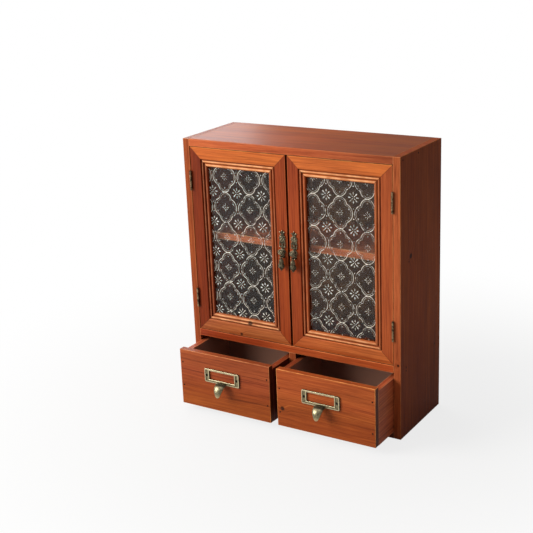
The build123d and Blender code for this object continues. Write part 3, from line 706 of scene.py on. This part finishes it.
# Painted glints: the dots and blossoms are opaque and pale, standing for the sparkle of the pressed
# glass
painted_glint_dots = Finish("raised dots of pressed glass")
painted_glint = painted_glint_dots.noise(painted_glint_dots.place(), 300.0).fade(0.44, 0.58)
painted_glint_dots.surface({
    "Base Color": painted_glint_dots.blend(painted_glint, shade((0.42, 0.38, 0.30)), shade((0.95, 0.91, 0.82))),
    "Roughness": 0.18})
relief_glass = Finish("raised lines of pressed glass")
ripples = relief_glass.noise(relief_glass.place(), 700.0)
clear = relief_glass.node("BsdfPrincipled", {}, {
    "Base Color": (0.98, 0.95, 0.88, 1), "Transmission Weight": 1.0, "Roughness": 0.08, "IOR": 1.5,
    "Normal": relief_glass.bump(ripples, 0.0002, 0.4)})
milky = relief_glass.node("BsdfPrincipled", {}, {
    "Base Color": (0.86, 0.78, 0.65, 1), "Roughness": 0.22,
    "Normal": relief_glass.bump(ripples, 0.0002, 0.4)})
# Painted glints: the milky parts of the lines are opaque and pale, spread by noise where the raised
# lines catch light
painted_glint_patches = relief_glass.noise(relief_glass.place(), 200.0, 3.0).fade(0.36, 0.52, 0.15, 1.0)
relief_glass.node("OutputMaterial", {}, {0: relief_glass.node("MixShader", {}, {
    0: painted_glint_patches, 1: clear, 2: milky})})
for side in SIDES:
    glass_relief(side)


# ---- Cast pulls -------------------------------------------------------------------------------

CASTING = 0.24 * MM  # voxel that joins the parts of a casting
ROSETTE_HEIGHT = 263.5 * MM
PATINA_DARK = (0.030, 0.023, 0.013)
PATINA_PALE = (0.150, 0.120, 0.070)
PATINA_HOLLOW = (0.006, 0.004, 0.003)
WORN_BRONZE = (0.86, 0.74, 0.47)
PULL_PLACES = {"left": -10.0 * MM, "right": 10.0 * MM}


def cast(parts):
    """Parts of a casting become one closed surface."""
    piece = joined(parts)
    applied(piece, "REMESH", mode="VOXEL", voxel_size=CASTING)
    applied(piece, "SMOOTH", factor=0.5, iterations=3)
    only(piece)
    bpy.ops.object.shade_smooth()
    return piece


def fleur_and_boss():
    """Leaves at the top of a backplate, and the oval boss below them with its scrolls."""
    parts = [
        ball(mm(0, -1.1, 29.6), mm(1.4, 1.1, 3.0)), ball(mm(0, -1.3, 32.0), mm(0.75, 0.75, 0.75)),
        ball(mm(0, -1.1, 25.7), mm(2.8, 1.2, 0.9)), ball(mm(0, -0.8, 20.4), mm(5.3, 1.0, 5.1)),
        ring(mm(0, -1.4, 20.4), 4.3 * MM, 0.62 * MM, 0.97),
        ring(mm(-1.5, -1.9, 21.6), 1.35 * MM, 0.5 * MM), ring(mm(1.5, -1.9, 19.2), 1.35 * MM, 0.5 * MM),
        ball(mm(1.9, -1.9, 22.3), mm(0.9, 0.8, 0.7), 30),
        ball(mm(-1.9, -1.9, 18.5), mm(0.9, 0.8, 0.7), 30),
        ball(mm(0, -2.2, 20.4), mm(0.9, 1.1, 0.9))]
    for side in (-1, 1):
        parts.append(ball(mm(side * 2.3, -1.0, 28.0), mm(1.1, 1.0, 2.5), side * 32))
        parts.append(ball(mm(side * 3.7, -1.4, 29.7), mm(0.9, 0.9, 0.9)))
    for step in range(10):
        angle = math.radians(36 * step + 18)
        place = mm(5.0 * math.sin(angle), -1.2, 20.4 + 4.8 * math.cos(angle))
        parts.append(ball(place, mm(0.75, 0.8, 0.75), segments=10))
    return parts


def loops_and_neck():
    """Open loops under the boss, the rosette's seat, and the ears that carry the drop."""
    parts = [
        ball(mm(0, -1.1, 14.2), mm(1.0, 1.0, 2.6)), ball(mm(0, -1.0, 6.3), mm(3.0, 1.0, 1.8)),
        ball(mm(0, -0.9, 0), mm(4.9, 1.0, 4.8)), ball(mm(0, -3.9, 0), mm(1.9, 3.9, 1.9)),
        ball(mm(0, -0.9, -6.0), mm(3.3, 1.0, 3.2)), ball(mm(0, -0.8, -9.1), mm(1.8, 0.8, 0.8))]
    for side in (-1, 1):
        parts.append(ring(mm(side * 2.7, -1.2, 10.6), 1.75 * MM, 0.72 * MM, 2.35, side * 12))
        parts.append(ball(mm(side * 4.3, -1.5, 7.4), mm(0.9, 0.9, 1.3), side * 10))
        parts.append(ball(mm(side * 2.8, -3.3, -8.0), mm(0.66, 3.6, 1.45)))
    return parts


def rosette():
    """Flower with two rows of petals and a beaded centre."""
    parts = [ball(mm(0, -8.4, 0), mm(1.6, 1.2, 1.6)), ball(mm(0, -7.3, 0), mm(3.6, 0.8, 3.6))]
    for count, out, reach, radii in ((10, 7.4, 3.45, (1.1, 0.9, 1.6)), (8, 8.2, 2.2, (0.75, 0.8, 1.1))):
        for step in range(count):
            turn = 360 / count * (step + 0.5)
            angle = math.radians(turn)
            place = mm(reach * math.sin(angle), -out, reach * math.cos(angle))
            parts.append(ball(place, mm(*radii), turn, segments=10))
    for step in range(6):
        angle = math.radians(60 * step)
        parts.append(ball(mm(0.95 * math.sin(angle), -9.4, 0.95 * math.cos(angle)),
                          mm(0.42, 0.45, 0.42), segments=8))
    return parts


def bud():
    """Hanging drop with an eye between the ears, ribs, a ring of petals and a small tip."""
    parts = [
        ball(mm(0, -5.6, -8.0), mm(1.85, 1.35, 1.35)), ball(mm(0, -6.0, -10.9), mm(3.2, 2.2, 1.5)),
        ball(mm(0, -6.2, -14.4), mm(3.5, 2.6, 5.2)), ball(mm(0, -6.2, -20.8), mm(5.3, 3.1, 5.6)),
        ball(mm(0, -6.2, -26.6), mm(1.9, 1.6, 1.4)), ball(mm(0, -6.2, -27.6), mm(0.9, 0.9, 0.8))]
    for step in range(9):
        angle = math.radians(40 * step)
        x, y = math.sin(angle), math.cos(angle)
        parts.append(ball(mm(3.2 * x, -6.2 - 2.3 * y, -15.8), mm(0.75, 0.7, 4.2), segments=10))
        parts.append(ball(mm(4.0 * x, -6.2 - 2.5 * y, -22.0), mm(1.15, 1.0, 2.1), segments=10))
    return parts


def pull_pieces():
    """Both castings about the rosette's centre on the door's face."""
    return cast(fleur_and_boss() + loops_and_neck() + rosette()), cast(bud())


def hang_pull(side, plate, drop):
    """One pull on one door: copies of both castings, each on its own body."""
    place = (PULL_PLACES[side], DOOR_FACE, ROSETTE_HEIGHT)
    for piece, part, body in ((plate, "pull_plate", "door_" + side),
                              (drop, "pull_drop", "pull_drop_" + side)):
        copy = copied(piece, place)
        copy.name = "door_%s_cast_%s" % (side, part)
        copy.data.materials.append(bronze.material)
        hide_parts("door_%s_%s" % (side, part))
        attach(copy, body)


bronze = Finish("antique bronze, cast")
clouds = bronze.noise(bronze.place(), 420.0, 4.0, 0.6)
pointed = bronze.node("NewGeometry", output=7)
worn = (pointed.fade(0.515, 0.550) * (0.35 + clouds.fade(0.38, 0.58) * 0.65)).at_most(1.0)
hollow = pointed.fade(0.498, 0.470)
patina = bronze.blend(clouds.fade(0.35, 0.70), shade(PATINA_DARK), shade(PATINA_PALE))
patina = bronze.blend(hollow, patina, shade(PATINA_HOLLOW))
bronze.surface({
    "Base Color": bronze.blend(worn, patina, shade(WORN_BRONZE)), "Metallic": 0.85 + worn * 0.15,
    "Roughness": 0.52 - worn * 0.22, "Normal": bronze.bump(clouds, 0.00006, 0.4)})
plate, drop = pull_pieces()
for side in SIDES:
    hang_pull(side, plate, drop)
bpy.data.objects.remove(plate)
bpy.data.objects.remove(drop)


RIM_BACK = 2.4 * MM  # of a card frame's rim, from its back
FRAME_TALL = 21.8 * MM
SCREW_SHADE = (2.5 * MM, 1.9 * MM)  # dark ring about a screw
FIELD_BRASS = (shade((0.150, 0.130, 0.070)), shade((0.300, 0.255, 0.145)))
RIM_BRASS = (shade((0.24, 0.190, 0.100)), shade((0.66, 0.56, 0.35)))
TONGUE_BRASS = (shade((0.17, 0.150, 0.085)), shade((0.34, 0.30, 0.18)))
TONGUE_TIP = (0.62, 0.50, 0.27)


def card_metal(node):
    """Brass label frame: rubbed rims, a dark sunken field, side walls painted near-black as shade, and
    a smooth tongue.
    """
    finish = Finish("antique brass, " + node.replace("_", " "))
    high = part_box(node)[1]
    rim, foot = high.y - RIM_BACK, high.z - FRAME_TALL
    y, z = finish.axes(finish.place())[1:]
    clouds = finish.noise(finish.place(), 380.0, 4.0, 0.6)
    face = (-finish.axes(finish.node("NewGeometry", output=1))[1]).fade(0.35, 0.8)
    sunken = y.fade(rim + 0.35 * MM, rim + 0.6 * MM)
    tongue = z.fade(foot + 1.5 * MM, foot - 2.0 * MM)
    rub = clouds.fade(0.30, 0.60, 0.35, 1.0)
    field = finish.blend(clouds.fade(0.35, 0.65), *FIELD_BRASS)
    rims = finish.blend(rub, *RIM_BRASS)
    colour = finish.blend((1 - sunken) * face, field, rims)
    near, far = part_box(node + "_screws")
    head = (far.z - near.z) / 2
    for place in (near.x + head, far.x - head):
        ring_there = from_spot(finish, (place, near.y, near.z + head)).fade(*SCREW_SHADE)
        colour = finish.blend(ring_there * 0.9, colour, shade((0.012, 0.010, 0.007)))
    # Painted shade: the frame's side walls, which face away from the front, are painted near-black
    walls = (1 - face) * (1 - tongue)
    colour = finish.blend(walls * 0.85, colour, shade((0.030, 0.026, 0.018)))
    grey = finish.blend(clouds.fade(0.35, 0.68), *TONGUE_BRASS)
    brassy = z.fade(foot - 9 * MM, foot - 15 * MM) * 0.8
    grey = finish.blend(brassy, grey, shade(TONGUE_TIP))
    finish.surface({
        "Base Color": finish.blend(tongue, colour, grey), "Metallic": 0.9,
        "Roughness": 0.36 + (clouds - 0.5) * 0.25 + walls * 0.2,
        "Normal": finish.bump(clouds, 0.00005, 0.4)})
    finish.wear(node)


for side in SIDES:
    card_metal("drawer_%s_card_frame" % side)


# ---- Studio -----------------------------------------------------------------------------------

WORLD_LIGHT = 0.17
SHINE = 0.35  # of the white room in metal and lacquer
FLOOR_SIZE = 30
FLOOR_SHADE = (0.66, 0.66, 0.65, 1)
FLOOR_FADE = (0.25, 0.75, 0.80, 1.0)  # from and to which distance, and how white at each
LENS = 74.11
CAMERA_PLACE = (0.7993, -1.3819, 0.7427)
CAMERA_TURN = (32.58, 90 - 18.02, -2.386)  # degrees about Z, up from straight down, and rolled
LAMPS = [  # name, place, target, size, watts, colour
    ("key", (-1.58, -1.38, 1.05), (0, -0.05, 0.2), (1.3, 1.3), 62, (1.0, 0.98, 0.95)),
    ("overhead", (-0.38, 0.0, 1.9), (-0.1, 0, 0.4), (1.1, 1.1), 11, (1.0, 0.98, 0.96)),
    ("back sheen", (-0.85, 0.65, 0.68), (-0.1, 0, 0.42), (0.6, 0.35), 3, (0.96, 0.98, 1.0))]


def seen(finish):
    """White for the camera and through glass, and a dimmer room in what shines."""
    path = finish.node("LightPath")
    return (path + path.output(3) * SHINE + path.output(7)).at_most(1.0)


def add_floor():
    """Plain pale floor that keeps the shadow near the cabinet and fades to white."""
    bpy.ops.mesh.primitive_plane_add(size=FLOOR_SIZE, location=(0, 0, 0))
    floor = bpy.context.object
    floor.name = "studio_floor"
    paint = Finish("studio floor")
    distance = paint.node("VectorMath", {"operation": "LENGTH"}, {0: paint.place()}, output=1)
    white = distance.fade(*FLOOR_FADE)
    diffuse = paint.node("BsdfDiffuse", {}, {0: FLOOR_SHADE})
    glow = paint.node("Emission", {}, {0: (1, 1, 1, 1), 1: 1.0})
    mixed = paint.node("MixShader", {}, {0: seen(paint) * white, 1: diffuse, 2: glow})
    paint.node("OutputMaterial", {}, {0: mixed})
    floor.data.materials.append(paint.material)


def add_world():
    """White room, which lights the cabinet less than it shows."""
    world = bpy.data.worlds.new("studio")
    bpy.context.scene.world = world
    air = Finish("studio air", world)
    strength = seen(air).fade(0.0, 1.0, WORLD_LIGHT, 1.0)
    background = air.node("Background", {}, {0: (1, 1, 1, 1), 1: strength})
    air.node("OutputWorld", {}, {0: background})


def add_lamp(name, place, target, size, watts, colour):
    """Square soft lamp aimed at a point."""
    data = bpy.data.lights.new(name, "AREA")
    data.shape = "RECTANGLE"
    data.size, data.size_y = size
    data.energy = watts
    data.color = colour
    lamp = bpy.data.objects.new(name, data)
    lamp.location = place
    aim = Vector(target) - Vector(place)
    lamp.rotation_euler = aim.to_track_quat("-Z", "Y").to_euler()
    bpy.context.scene.collection.objects.link(lamp)


def add_camera():
    """Camera about 1.7 metres away, to the right and above, turned a little."""
    data = bpy.data.cameras.new("camera")
    data.sensor_width = 36.0
    data.lens = LENS
    camera = bpy.data.objects.new("camera", data)
    sideways, upwards, roll = (math.radians(angle) for angle in CAMERA_TURN)
    turn = (Matrix.Rotation(sideways, 4, "Z") @ Matrix.Rotation(upwards, 4, "X")
            @ Matrix.Rotation(roll, 4, "Z"))
    camera.matrix_world = Matrix.Translation(CAMERA_PLACE) @ turn
    bpy.context.scene.collection.objects.link(camera)
    bpy.context.scene.camera = camera


add_floor()
add_world()
for lamp in LAMPS:
    add_lamp(*lamp)
add_camera()
bpy.context.scene.view_settings.view_transform = "Standard"
